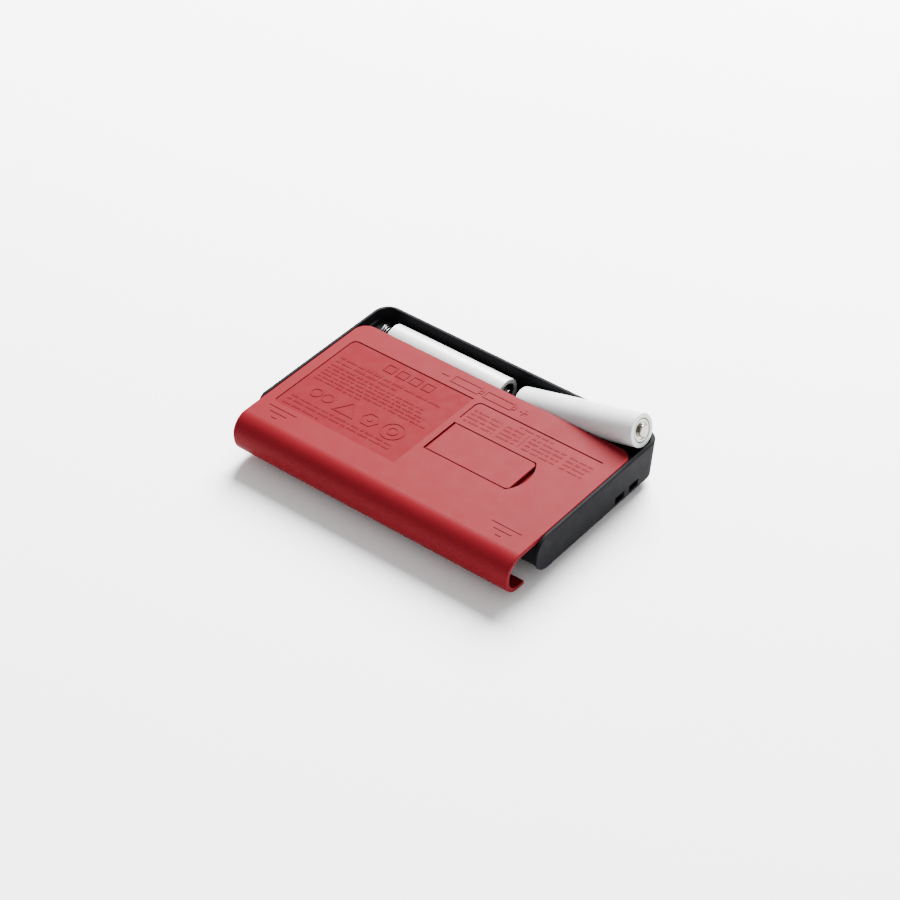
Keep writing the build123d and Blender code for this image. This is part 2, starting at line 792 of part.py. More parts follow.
def make_closed_stand():
    """Flap in the cover's pocket, with a rounded hinge end and two stub pins."""
    middle_y = cover_y(stand_far_edge + stand_width / 2)
    outline = Pos((stand_hinge_x + stand_end_x) / 2, middle_y) * Rectangle(
        stand_end_x - stand_hinge_x, stand_width
    )
    outline = fillet(outline.vertices().group_by(Axis.X)[-1], stand_corner_radius)
    flap = extrude(Pos(0, 0, rim_z - stand_thickness) * outline, amount=stand_thickness)
    top_edges = flap.edges().group_by(Axis.Z)[-1]
    flap = chamfer(top_edges.filter_by(lambda edge: edge.center().X > stand_hinge_x + 1), stand_edge)
    hinge = make_hinge_line()
    flap += hinge * Cylinder(stand_thickness / 2, stand_width)
    flap += hinge * Cylinder(pin_radius, stand_width + 2 * pin_length + stand_gap)
    return flap


# ---------------------------------------------------------------- battery cells and contacts
def cell_parts(start_x, prefix):
    """Cell lying along X with its nub towards +X: filling, can, cap, seal and label."""
    end_x = start_x + cell_body
    can_radius = cell_radius - label_wall
    core_radius = can_radius - can_wall
    face_x = end_x - seal_depth
    can = rod(start_x, face_x, can_radius, cell_y, cell_z)
    can -= rod(start_x + can_wall, face_x + 1, core_radius, cell_y, cell_z)
    core = rod(start_x + can_wall, face_x - seal_wall, core_radius, cell_y, cell_z)
    seal = rod(face_x - seal_wall, face_x, core_radius, cell_y, cell_z)
    cap = rod(face_x, face_x + nub_step_height, nub_step_radius, cell_y, cell_z)
    step_x = face_x + nub_step_height
    inner_radius, outer_radius = cap_groove_radii
    groove = rod(step_x - cap_groove_depth, step_x + bite, outer_radius, cell_y, cell_z)
    cap -= groove - rod(face_x, end_x, inner_radius, cell_y, cell_z)
    nub = rod(face_x, start_x + cell_length, nub_radius, cell_y, cell_z)
    cap += fillet(nub.edges().group_by(Axis.X)[-1], nub_length / 2)
    label = rod(start_x, end_x, cell_radius, cell_y, cell_z)
    label = fillet(label.edges().group_by(Axis.X)[0], label_edge)
    label = fillet(label.edges().group_by(Axis.X)[-1], label_edge)
    label -= rod(start_x - beyond, face_x, can_radius, cell_y, cell_z)
    label -= rod(face_x - bite, end_x + beyond, can_radius - shrink_ring_width, cell_y, cell_z)
    return {
        f"{prefix}_can": can,
        f"{prefix}_filling": core,
        f"{prefix}_seal": seal,
        f"{prefix}_cap": cap,
        f"{prefix}_label": label,
    }


def make_spring():
    """Conical coil spring on the spring block, narrowing towards the left cell."""
    height = spring_length - spring_wire
    cone = math.degrees(math.atan((spring_tip_radius - spring_end_radius) / height))
    coil = Helix(height / spring_turns, height, spring_end_radius, cone_angle=cone)
    section = Plane(origin=coil @ 0, z_dir=coil % 0) * Circle(spring_wire / 2)
    wire = sweep(section, path=coil, is_frenet=True)
    return Pos(spring_block_x + contact_plate + spring_wire / 2, cell_y, cell_z) * Rot(0, 90, 0) * wire


def make_spring_plate():
    """Plate under the spring."""
    half = spring_plate_half
    return box_between(
        (spring_block_x, cell_y - half, cell_z - half),
        (spring_block_x + contact_plate, cell_y + half, cell_z + spring_plate_rise),
    )


def make_nub_contact():
    """Plate with a raised dimple that meets the right cell's nub."""
    plate = box_between(
        (contact_x, cell_y - contact_half_width, bay_floor_z + contact_floor_gap),
        (contact_x + contact_plate, cell_y + contact_half_width, cell_z + contact_rise),
    )
    dimple_z = cell_z - contact_dimple_drop
    dimple_x = contact_x - contact_dimple_height
    return plate + rod(dimple_x, contact_x, contact_dimple_radius, cell_y, dimple_z)


# ---------------------------------------------------------------- electronics
def make_board():
    """Circuit board, cut round the speaker, the screw posts and the strap chamber."""
    right_x = wall_x - strap_chamber - strap_wall - 2 * chamber_gap
    board = box_between(
        (board_edge_gap - wall_x, panel_near_y + board_edge_gap, board_z),
        (right_x, partition_y - board_edge_gap, board_z + board_wall),
    )
    holes = [(speaker_centre, speaker_radius + 2 * chamber_gap)]
    holes += [(place, post_radius + 2 * chamber_gap) for place in post_places]
    for place, radius in holes:
        board -= drum(place, radius, board_z - bite, board_z + board_wall + bite)
    return board


def make_volume_dial():
    """Thumbwheel with a notched edge, turning on the potentiometer's post."""
    top_z = dial_bottom_z + dial_height
    wheel = drum(dial_centre, dial_radius, dial_bottom_z, top_z)
    wheel = chamfer(wheel.edges().filter_by(GeomType.CIRCLE), dial_edge)
    for notch in range(dial_notches):
        angle = math.radians(360 * notch / dial_notches)
        notch_x = dial_centre[0] + dial_radius * math.cos(angle)
        notch_y = dial_centre[1] + dial_radius * math.sin(angle)
        wheel -= drum((notch_x, notch_y), dial_notch_radius, dial_bottom_z - bite, top_z + bite)
    return wheel - drum(dial_centre, dial_bore, dial_bottom_z - bite, top_z + bite)


def make_volume_pot():
    """Potentiometer body on the board, with the post the dial turns on."""
    base_z = board_z + board_wall
    body = slab(dial_centre, (pot_size, pot_size), pot_corner, base_z, base_z + pot_height)
    return body + drum(dial_centre, dial_bore - running_gap, base_z, dial_bottom_z + dial_height)


def make_jack():
    """Headphone socket on the board, its nose in the left wall."""
    length, width, height = jack_size
    end_x = jack_start_x + length
    middle = Pos((jack_start_x + end_x) / 2, jack_y, jack_z)
    body = middle * Box(length, width, height)
    body += rod(-half_length + jack_nose_recess, jack_start_x + bite, jack_nose_radius, jack_y, jack_z)
    return body - rod(-half_length - beyond, end_x - jack_end_wall, jack_bore, jack_y, jack_z)


def make_lens():
    """Clear window over the display."""
    width, height = window_size
    margin = 2 * (lens_ledge - fit_gap)
    top_z = lens_recess + lens_wall - running_gap
    return slab(
        window_centre, (width + margin, height + margin), lens_corner - fit_gap, lens_recess, top_z
    )


def make_display():
    """Liquid-crystal display glass."""
    bottom_z = panel_wall + fit_gap
    x, y = window_centre
    half_x, half_y = display_size[0] / 2, display_size[1] / 2
    return box_between(
        (x - half_x, y - half_y, bottom_z), (x + half_x, y + half_y, bottom_z + display_wall)
    )


def make_rubber_strips():
    """Two conductive rubber strips from the display to the board."""
    bottom_z = panel_wall + fit_gap + display_wall
    x, y = window_centre
    length = display_size[0] - 2 * rubber_strip_inset
    offset = display_size[1] / 2 - rubber_strip_width
    strip = Box(length, rubber_strip_width, board_z - bottom_z)
    middle_z = (bottom_z + board_z) / 2
    return Compound(children=[Pos(x, y + side * offset, middle_z) * strip for side in (-1, 1)])


def speaker_parts():
    """Loudspeaker behind the grille: gasket, basket, cone and magnet."""
    basket_z = panel_wall + speaker_gasket
    top_z = basket_z + speaker_height
    gasket = drum(speaker_centre, speaker_radius, panel_wall, basket_z)
    gasket -= drum(speaker_centre, speaker_radius - gasket_width, panel_wall - bite, basket_z + bite)
    basket = drum(speaker_centre, speaker_radius, basket_z, top_z)
    basket -= drum(speaker_centre, speaker_radius - basket_wall, basket_z - bite, top_z - basket_wall)
    basket -= drum(speaker_centre, magnet_radius - basket_ledge, basket_z, top_z + bite)
    rim_radius = speaker_radius - basket_wall - fit_gap
    foot = (Align.CENTER, Align.CENTER, Align.MIN)
    outer = Cone(rim_radius, cone_middle_radius, cone_height, align=foot)
    inner = Cone(rim_radius - cone_wall, cone_middle_radius - cone_wall, cone_height, align=foot)
    cone_place = Pos(*speaker_centre, basket_z + fit_gap)
    magnet = drum(speaker_centre, magnet_radius, top_z, top_z + magnet_height)
    return {
        "speaker_gasket": gasket,
        "speaker_basket": basket,
        "speaker_cone": cone_place * (outer - Pos(0, 0, -cone_wall) * inner),
        "speaker_magnet": magnet,
    }


def make_lamp_lens(x):
    """Clear light pipe in the panel."""
    return drum((x, lamp_row_y), lamp_radius, fit_gap, panel_wall + lamp_lens_height)


def make_lamp(x):
    """Light-emitting diode on the board, over its light pipe."""
    length, width, height = lamp_size
    return Pos(x, lamp_row_y, board_z - height / 2) * Box(length, width, height)


def make_screws():
    """Four screws from the deck into the panel's posts."""
    screws = []
    for place in post_places:
        shaft = drum(place, screw_radius - running_gap, deck_z - screw_length, deck_z)
        head = drum(place, screw_head_radius, deck_z, deck_z + screw_head_height)
        head = fillet(head.edges().group_by(Axis.Z)[-1], screw_head_edge)
        arm = Box(cross_length, cross_width, 2 * cross_depth)
        cross = Pos(*place, deck_z + screw_head_height) * (arm + Rot(0, 0, 90) * arm)
        screws.append(shaft + head - cross)
    return Compound(children=screws)


def board_parts():
    """Chips and other small parts on the board's free side."""
    base_z = board_z + board_wall
    parts = {
        name: slab((x, front_y + y), (length, width), corner, base_z, base_z + height)
        for name, (x, y), (length, width, height), corner in board_blocks
    }
    capacitors = [
        drum((x, front_y + y), capacitor_radius, base_z, base_z + capacitor_height)
        for x, y in capacitor_places
    ]
    parts["capacitors"] = Compound(children=capacitors)
    return parts


# ---------------------------------------------------------------- assembly
def make_parts():
    """Every sub-part by name, in its resting place."""
    parts = {"case_shell": make_case_shell(), "front_panel": make_front_panel()}
    opened = Pos(0, -cover_opening, 0)
    parts["battery_cover"] = opened * make_closed_cover()
    parts["stand"] = opened * make_closed_stand()
    for name, x, y, turned in key_places():
        parts[name] = make_key(x, y, turned)
    parts["keypad_mat"] = make_keypad_mat()
    parts["circuit_board"] = make_board()
    parts["display_window"] = make_lens()
    parts["display_glass"] = make_display()
    parts["rubber_connectors"] = make_rubber_strips()
    parts.update(speaker_parts())
    for side, x in zip(("left", "right"), lamp_columns):
        parts[f"lamp_lens_{side}"] = make_lamp_lens(x)
        parts[f"lamp_{side}"] = make_lamp(x)
    parts["volume_dial"] = make_volume_dial()
    parts["volume_pot"] = make_volume_pot()
    parts["headphone_jack"] = make_jack()
    parts.update(board_parts())
    parts["case_screws"] = make_screws()
    parts["battery_spring"] = make_spring()
    parts["spring_plate"] = make_spring_plate()
    parts["nub_contact"] = make_nub_contact()
    parts.update(cell_parts(left_cell_x, "left_cell"))
    pivot = Pos(swing_x, cell_y, swing_z)
    raised = pivot * Rot(0, -raise_angle, 0) * pivot.inverse()
    for name, shape in cell_parts(lowered_end_x, "right_cell").items():
        parts[name] = raised * shape
    return parts


os.makedirs("parts", exist_ok=True)
for part_name, part_shape in make_parts().items():
    save(part_name, part_shape)
print("cell swing axis", round(swing_x, 3), round(cell_y, 3), round(swing_z, 3))
print("stand hinge", stand_hinge_x, round(rim_z - stand_thickness / 2, 3))
print("dial axis", round(dial_centre[0], 3), dial_y)
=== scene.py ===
import json
import math
import random

import bmesh
import bpy
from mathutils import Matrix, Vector


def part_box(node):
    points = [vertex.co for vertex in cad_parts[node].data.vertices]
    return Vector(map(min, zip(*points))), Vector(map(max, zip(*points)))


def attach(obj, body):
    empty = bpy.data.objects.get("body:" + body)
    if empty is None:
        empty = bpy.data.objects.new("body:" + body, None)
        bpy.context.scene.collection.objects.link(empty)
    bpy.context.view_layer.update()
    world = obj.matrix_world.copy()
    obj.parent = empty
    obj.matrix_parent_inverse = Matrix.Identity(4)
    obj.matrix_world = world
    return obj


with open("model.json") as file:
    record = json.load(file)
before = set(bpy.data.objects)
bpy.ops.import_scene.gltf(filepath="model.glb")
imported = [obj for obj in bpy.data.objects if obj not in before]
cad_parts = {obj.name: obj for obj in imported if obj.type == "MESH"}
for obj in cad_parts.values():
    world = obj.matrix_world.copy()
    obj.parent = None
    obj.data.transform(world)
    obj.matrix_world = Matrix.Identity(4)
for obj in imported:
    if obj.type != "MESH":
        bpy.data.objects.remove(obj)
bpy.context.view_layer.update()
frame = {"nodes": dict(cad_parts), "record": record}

MM = 0.001

# ---------------------------------------------------------------- places read from the frame
COVER_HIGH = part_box("battery_cover")[1]
CASE_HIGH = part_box("case_shell")[1]
STAND_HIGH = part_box("stand")[1]
WINDOW_LOW, WINDOW_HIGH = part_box("display_window")
DISPLAY_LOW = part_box("display_glass")[0]
LABEL_LOW, LABEL_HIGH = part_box("left_cell_label")
FACE_Z = STAND_HIGH.z                     # the cover's flat face
RELIEF = COVER_HIGH.z - FACE_Z            # how far its marks stand up
COVER_FAR = COVER_HIGH.y
KEY_NAMES = sorted(name for name in frame["nodes"] if name.startswith("key_"))


def on_cover(x, distance):
    """Point on the cover, in mm from its middle and from its far edge."""
    return (x * MM, COVER_FAR - distance * MM)


# ---------------------------------------------------------------- mesh building
CORNER_SIGNS = ((-1, -1), (1, -1), (1, 1), (-1, 1))


def add_prism(mesh, outline, low_z, high_z):
    """Solid with the given outline, seen from above."""
    low = [mesh.verts.new((x, y, low_z)) for x, y in outline]
    high = [mesh.verts.new((x, y, high_z)) for x, y in outline]
    mesh.faces.new(high)
    mesh.faces.new(reversed(low))
    for index in range(len(outline)):
        after = (index + 1) % len(outline)
        mesh.faces.new((low[index], low[after], high[after], high[index]))


def add_block(mesh, centre, size, low_z, high_z):
    """Rectangular block."""
    half_x, half_y = size[0] / 2, size[1] / 2
    outline = [(centre[0] + a * half_x, centre[1] + b * half_y) for a, b in CORNER_SIGNS]
    add_prism(mesh, outline, low_z, high_z)


def corner_offset(before, point, after, width):
    """Sideways step from a line's corner to the edge of a ribbon of that width."""
    sides = []
    for start, end in ((before, point), (point, after)):
        along = (end - start).normalized()
        if along.length > 0:
            sides.append(Vector((-along.y, along.x)))
    middle = sum(sides, Vector((0, 0))).normalized()
    return middle * (width / 2 / middle.dot(sides[0]))


def add_ribbon(mesh, points, width, low_z, high_z, closed=False):
    """Bar of constant width that follows a line of points, with mitred corners."""
    line = [Vector(point) for point in points]
    last = len(line) - 1
    edges = []
    for index, point in enumerate(line):
        before = line[index - 1] if closed or index else point
        after = line[(index + 1) % len(line)] if closed or index < last else point
        offset = corner_offset(before, point, after, width)
        edges.append((tuple(point - offset), tuple(point + offset)))
    followers = edges[1:] + edges[:1] if closed else edges[1:]
    for (near_a, far_a), (near_b, far_b) in zip(edges, followers):
        add_prism(mesh, [near_a, near_b, far_b, far_a], low_z, high_z)


def circle_points(centre, radius, count=24):
    """Points evenly round a circle."""
    angles = [2 * math.pi * step / count for step in range(count)]
    return [(centre[0] + radius * math.cos(a), centre[1] + radius * math.sin(a)) for a in angles]


def finish_piece(mesh, name, body, material):
    """Turn a bmesh into a piece that moves with a body."""
    data = bpy.data.meshes.new(name)
    mesh.normal_update()
    mesh.to_mesh(data)
    mesh.free()
    data.materials.append(material)
    piece = bpy.data.objects.new(name, data)
    bpy.context.scene.collection.objects.link(piece)
    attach(piece, body)


# ---------------------------------------------------------------- shader building
def start_material(name, roughness, metallic=0.0, gloss=0.5):
    """Material with its principled shader; gloss is how much a plain surface mirrors."""
    material = bpy.data.materials.new(name)
    material.use_nodes = True
    shader = material.node_tree.nodes["Principled BSDF"]
    shader.inputs["Roughness"].default_value = roughness
    shader.inputs["Metallic"].default_value = metallic
    shader.inputs["Specular IOR Level"].default_value = gloss
    return material, material.node_tree, shader


def place(tree, stretch=(1, 1, 1)):
    """The piece's own coordinates in mm, squeezed along each axis by stretch."""
    coordinates = tree.nodes.new("ShaderNodeTexCoord")
    mapping = tree.nodes.new("ShaderNodeMapping")
    mapping.inputs["Scale"].default_value = [value / MM for value in stretch]
    tree.links.new(coordinates.outputs["Object"], mapping.inputs["Vector"])
    return mapping.outputs["Vector"]


def noise(tree, where, per_mm, detail=3.0, roughness=0.55):
    """Cloudy pattern with per_mm lumps in each mm."""
    node = tree.nodes.new("ShaderNodeTexNoise")
    node.inputs["Scale"].default_value = per_mm
    node.inputs["Detail"].default_value = detail
    node.inputs["Roughness"].default_value = roughness
    tree.links.new(where, node.inputs["Vector"])
    return node.outputs["Fac"]


def spread(tree, value, low, high, from_low=0.35, from_high=0.65):
    """Stretch a pattern's middle range to run from low to high."""
    node = tree.nodes.new("ShaderNodeMapRange")
    node.inputs["From Min"].default_value = from_low
    node.inputs["From Max"].default_value = from_high
    node.inputs["To Min"].default_value = low
    node.inputs["To Max"].default_value = high
    tree.links.new(value, node.inputs["Value"])
    return node.outputs["Result"]


def blend_colours(tree, factor, first, second):
    """Colour that goes from first to second; each is a colour or another node's output."""
    node = tree.nodes.new("ShaderNodeMix")
    node.data_type = "RGBA"
    tree.links.new(factor, node.inputs["Factor"])
    for socket, colour in ((node.inputs[6], first), (node.inputs[7], second)):
        if isinstance(colour, tuple):
            socket.default_value = (*colour, 1)
        else:
            tree.links.new(colour, socket)
    return node.outputs[2]


def blend_numbers(tree, factor, first, second):
    """Number that goes from first to second; both are other nodes' outputs."""
    node = tree.nodes.new("ShaderNodeMix")
    tree.links.new(factor, node.inputs["Factor"])
    tree.links.new(first, node.inputs[2])
    tree.links.new(second, node.inputs[3])
    return node.outputs[0]


def calculate(tree, operation, first, second):
    """Two numbers put together; second is a number or another node's output."""
    node = tree.nodes.new("ShaderNodeMath")
    node.operation = operation
    tree.links.new(first, node.inputs[0])
    if isinstance(second, (int, float)):
        node.inputs[1].default_value = second
    else:
        tree.links.new(second, node.inputs[1])
    return node.outputs[0]


def bump(tree, shader, height, depth):
    """Relief of the given depth in mm on the shader."""
    node = tree.nodes.new("ShaderNodeBump")
    node.inputs["Distance"].default_value = depth * MM
    tree.links.new(height, node.inputs["Height"])
    tree.links.new(node.outputs["Normal"], shader.inputs["Normal"])


def inside(tree, where, low, high):
    """1 inside a rectangle seen from above, 0 outside; corners in mm."""
    split = tree.nodes.new("ShaderNodeSeparateXYZ")
    tree.links.new(where, split.inputs["Vector"])
    masks = []
    for axis, a, b in (("X", low[0], high[0]), ("Y", low[1], high[1])):
        node = tree.nodes.new("ShaderNodeMath")
        node.operation = "COMPARE"
        node.inputs[1].default_value = (a + b) / 2
        node.inputs[2].default_value = (b - a) / 2
        tree.links.new(split.outputs[axis], node.inputs[0])
        masks.append(node.outputs[0])
    return calculate(tree, "MULTIPLY", masks[0], masks[1])


def darker(colour, share):
    """Colour times share."""
    return tuple(value * share for value in colour)


# ---------------------------------------------------------------- material families
def moulded(name, colour, roughness, grain=0.012, gloss=0.15):
    """Moulded plastic: spark-eroded grain, cloudy tone, rubbed patches and a few dust specks."""
    material, tree, shader = start_material(name, roughness, gloss=gloss)
    where = place(tree)
    clouds = spread(tree, noise(tree, where, 0.06), 0, 1)
    toned = blend_colours(tree, clouds, darker(colour, 0.93), darker(colour, 1.05))
    specks = spread(tree, noise(tree, where, 2.7, 2.0), 0, 0.35, 0.74, 0.8)
    dusty = tuple(value * 0.9 + 0.01 for value in colour)
    tree.links.new(blend_colours(tree, specks, toned, dusty), shader.inputs["Base Color"])
    rubbed = spread(tree, noise(tree, where, 0.18), roughness - 0.04, roughness + 0.04)
    tree.links.new(rubbed, shader.inputs["Roughness"])
    bump(tree, shader, noise(tree, where, 5.0, 4.0), grain)
    return material


def soft_rubber(name, colour, roughness=0.7):
    """Silicone rubber: very fine skin, dull patches and lint."""
    material, tree, shader = start_material(name, roughness)
    where = place(tree)
    lint = spread(tree, noise(tree, place(tree, (1, 4, 1)), 1.6, 5.0), 0, 0.25, 0.66, 0.74)
    clouds = spread(tree, noise(tree, where, 0.15), 0, 1)
    toned = blend_colours(tree, clouds, darker(colour, 0.9), colour)
    tree.links.new(blend_colours(tree, lint, toned, (0.35, 0.35, 0.35)), shader.inputs["Base Color"])
    patches = spread(tree, noise(tree, where, 0.4), roughness - 0.1, roughness + 0.1)
    tree.links.new(patches, shader.inputs["Roughness"])
    bump(tree, shader, noise(tree, where, 9.0, 2.0), 0.006)
    return material


def plated(name, colour, roughness, streak=(1, 1, 1), grain=0.004):
    """Plated metal: drawing streaks, faint handling marks and an uneven tint."""
    material, tree, shader = start_material(name, roughness, metallic=1.0)
    lines = noise(tree, place(tree, streak), 6.0, 5.0)
    marks = noise(tree, place(tree), 0.5)
    tint = spread(tree, marks, 0, 1)
    tree.links.new(blend_colours(tree, tint, darker(colour, 0.82), colour), shader.inputs["Base Color"])
    tree.links.new(spread(tree, lines, roughness * 0.7, roughness * 1.4), shader.inputs["Roughness"])
    bump(tree, shader, lines, grain)
    return material


def fibrous(name, colour, roughness, lump=0.03):
    """Paper or foam: tangled fibres and pores."""
    material, tree, shader = start_material(name, roughness)
    fibres = noise(tree, place(tree, (1, 1, 3)), 3.0, 6.0, 0.7)
    shade = blend_colours(tree, spread(tree, fibres, 0, 1), darker(colour, 0.55), colour)
    tree.links.new(shade, shader.inputs["Base Color"])
    bump(tree, shader, fibres, lump)
    return material


def clear_plastic(name, colour, roughness):
    """Clear moulding with faint flow marks and hairline scratches."""
    material, tree, shader = start_material(name, roughness)
    shader.inputs["Transmission Weight"].default_value = 0.9
    shader.inputs["IOR"].default_value = 1.49
    scratches = noise(tree, place(tree, (0.3, 6, 1)), 2.0, 4.0)
    flow = spread(tree, noise(tree, place(tree), 0.12), 0, 1)
    tree.links.new(blend_colours(tree, flow, darker(colour, 0.96), colour), shader.inputs["Base Color"])
    scratched = spread(tree, scratches, roughness, roughness + 0.12, 0.55, 0.8)
    tree.links.new(scratched, shader.inputs["Roughness"])
    return material


# ---------------------------------------------------------------- the cover's red plastic
RED = (0.113, 0.0056, 0.0094)
PRINT_ZONE = (on_cover(-46.7, 45.6), on_cover(-1.2, 8.7))   # matt panel behind the small marks


def cover_red(name, zone=None):
    """Satin red plastic, duller and finer inside the marked zone."""
    material, tree, shader = start_material(name, 0.42, gloss=0.017)
    where = place(tree)
    clouds = spread(tree, noise(tree, where, 0.05), 0, 1)
    base = blend_colours(tree, clouds, darker(RED, 0.98), darker(RED, 1.03))
    specks = spread(tree, noise(tree, where, 2.2, 2.0), 0, 0.3, 0.73, 0.8)
    base = blend_colours(tree, specks, base, (0.13, 0.05, 0.05))
    satin = spread(tree, noise(tree, where, 0.2), 0.40, 0.45)
    if zone:
        low, high = [[value / MM for value in corner] for corner in zone]
        mask = inside(tree, where, low, high)
        matt = spread(tree, noise(tree, where, 0.3), 0.5, 0.6)
        satin = blend_numbers(tree, mask, satin, matt)
        grain = spread(tree, noise(tree, where, 7.0, 3.0), 0.85, 1.0)
        dulled = calculate(tree, "MULTIPLY", mask, grain)
        base = blend_colours(tree, dulled, base, darker(RED, 0.90))
    tree.links.new(base, shader.inputs["Base Color"])
    tree.links.new(satin, shader.inputs["Roughness"])
    bump(tree, shader, noise(tree, where, 4.5, 4.0), 0.010)
    return material


# ---------------------------------------------------------------- other single materials
def panel_black():
    """Front panel with one printed line round the display window."""
    material = moulded("panel_charcoal", (0.014, 0.014, 0.016), 0.5, grain=0.014)
    tree = material.node_tree
    shader = tree.nodes["Principled BSDF"]
    where = place(tree)
    base = shader.inputs["Base Color"].links[0].from_socket
    outer, inner = 3.4, 2.9      # mm from the window to the line's two edges
    masks = []
    for margin in (outer, inner):
        low = [WINDOW_LOW.x / MM - margin, WINDOW_LOW.y / MM - margin]
        high = [WINDOW_HIGH.x / MM + margin, WINDOW_HIGH.y / MM + margin]
        masks.append(inside(tree, where, low, high))
    line = calculate(tree, "SUBTRACT", masks[0], masks[1])
    printed = blend_colours(tree, line, base, (0.12, 0.12, 0.125))
    tree.links.new(printed, shader.inputs["Base Color"])
    return material


def label_white():
    """White shrink sleeve: glossy film with faint wrinkles, an uneven tone and scuffs."""
    material, tree, shader = start_material("sleeve_white", 0.28)
    where = place(tree)
    clouds = spread(tree, noise(tree, where, 0.1), 0, 1)
    scuffs = spread(tree, noise(tree, place(tree, (0.4, 2, 2)), 0.9, 5.0), 0, 0.3, 0.62, 0.75)
    base = blend_colours(tree, clouds, (0.52, 0.53, 0.54), (0.58, 0.585, 0.59))
    tree.links.new(blend_colours(tree, scuffs, base, (0.44, 0.44, 0.45)), shader.inputs["Base Color"])
    tree.links.new(spread(tree, noise(tree, where, 0.5), 0.24, 0.36), shader.inputs["Roughness"])
    wrinkles = noise(tree, place(tree, (2.5, 0.5, 0.5)), 0.5)
    bump(tree, shader, wrinkles, 0.03)
    return material


def board_green():
    """Solder mask over copper tracks."""
    material, tree, shader = start_material("board_green", 0.35)
    where = place(tree)
    tracks = tree.nodes.new("ShaderNodeTexBrick")
    tracks.inputs["Scale"].default_value = 0.4
    tracks.inputs["Mortar Size"].default_value = 0.06
    tracks.inputs["Color1"].default_value = (0.012, 0.085, 0.035, 1)
    tracks.inputs["Color2"].default_value = (0.010, 0.070, 0.030, 1)
    tracks.inputs["Mortar"].default_value = (0.030, 0.150, 0.060, 1)
    tree.links.new(where, tracks.inputs["Vector"])
    tree.links.new(tracks.outputs["Color"], shader.inputs["Base Color"])
    bump(tree, shader, tracks.outputs["Fac"], 0.03)
    return material


def display_grey():
    """Liquid-crystal glass: grey-green with a faint cell grid."""
    material, tree, shader = start_material("display_grey", 0.18)
    where = place(tree)
    grid = tree.nodes.new("ShaderNodeTexChecker")
    grid.inputs["Scale"].default_value = 2.5
    grid.inputs["Color1"].default_value = (0.115, 0.130, 0.105, 1)
    grid.inputs["Color2"].default_value = (0.105, 0.120, 0.098, 1)
    tree.links.new(where, grid.inputs["Vector"])
    clouds = spread(tree, noise(tree, where, 0.08), 0, 0.3)
    base = blend_colours(tree, clouds, grid.outputs["Color"], (0.09, 0.11, 0.09))
    tree.links.new(base, shader.inputs["Base Color"])
    return material


def wrapped_can():
    """Capacitor sleeve with a pale stripe down one side."""
    material, tree, shader = start_material("capacitor_sleeve", 0.4)
    wave = tree.nodes.new("ShaderNodeTexWave")
    wave.inputs["Scale"].default_value = 0.12
    wave.inputs["Distortion"].default_value = 0.6
    tree.links.new(place(tree), wave.inputs["Vector"])
    stripe = spread(tree, wave.outputs["Fac"], 0, 1, 0.8, 0.85)
    base = blend_colours(tree, stripe, (0.02, 0.02, 0.03), (0.25, 0.25, 0.26))
    tree.links.new(base, shader.inputs["Base Color"])
    return material


def make_materials():
    """One material for each slot of the record."""
    return {
        "case_plastic": moulded("case_charcoal", (0.0090, 0.0091, 0.0104), 0.6, grain=0.014, gloss=0.02),
        "panel_plastic": panel_black(),
        "cover_plastic": cover_red("cover_red", PRINT_ZONE),
        "stand_plastic": cover_red("stand_red"),
        "key_rubber": soft_rubber("key_red", (0.09, 0.006, 0.007), 0.55),
        "keypad_rubber": soft_rubber("keypad_grey", (0.12, 0.12, 0.12)),
        "board_laminate": board_green(),
        "window_clear": clear_plastic("window_clear", (0.9, 0.92, 0.92), 0.04),
        "display_glass": display_grey(),
        "contact_rubber": soft_rubber("contact_black", (0.02, 0.02, 0.02)),
        "gasket_foam": fibrous("gasket_foam", (0.03, 0.03, 0.03), 0.9),
        "speaker_steel": plated("speaker_steel", (0.45, 0.45, 0.46), 0.35, (0.2, 3, 1)),
        "speaker_paper": fibrous("speaker_paper", (0.03, 0.03, 0.032), 0.85),
        "magnet": plated("magnet_ground", (0.12, 0.12, 0.125), 0.5, (0.3, 4, 1), grain=0.02),
        "lamp_clear": clear_plastic("lamp_clear", (0.85, 0.85, 0.85), 0.12),
        "lamp_body": soft_rubber("lamp_amber", (0.35, 0.30, 0.12), 0.3),
        "dial_plastic": moulded("dial_black", (0.012, 0.012, 0.013), 0.4),
        "pot_body": moulded("pot_grey", (0.03, 0.03, 0.032), 0.5),
        "jack_plastic": moulded("jack_black", (0.010, 0.010, 0.011), 0.35),
        "chip": moulded("chip_epoxy", (0.008, 0.008, 0.009), 0.6, grain=0.02),
        "crystal_can": plated("crystal_can", (0.6, 0.6, 0.6), 0.25, (0.2, 3, 3)),
        "capacitor_can": wrapped_can(),
        "screw_steel": plated("screw_zinc", (0.30, 0.30, 0.31), 0.35, (2, 2, 0.3)),
        "contact_nickel": plated("contact_nickel", (0.30, 0.30, 0.29), 0.28, (1, 1, 5)),
        "cell_steel": plated("cell_steel", (0.6, 0.6, 0.6), 0.3, (0.2, 3, 3)),
        "cell_filling": fibrous("cell_filling", (0.02, 0.02, 0.02), 0.8),
        "cell_seal": soft_rubber("seal_black", (0.012, 0.012, 0.012), 0.5),
        "cell_cap": plated("cap_nickel", (0.34, 0.33, 0.29), 0.22, (1, 4, 4)),
        "cell_label": label_white(),
    }


# ---------------------------------------------------------------- small raised marks on the cover
BLOCK_GAP = 0.17 * MM
GROUP_GAP = 0.55 * MM

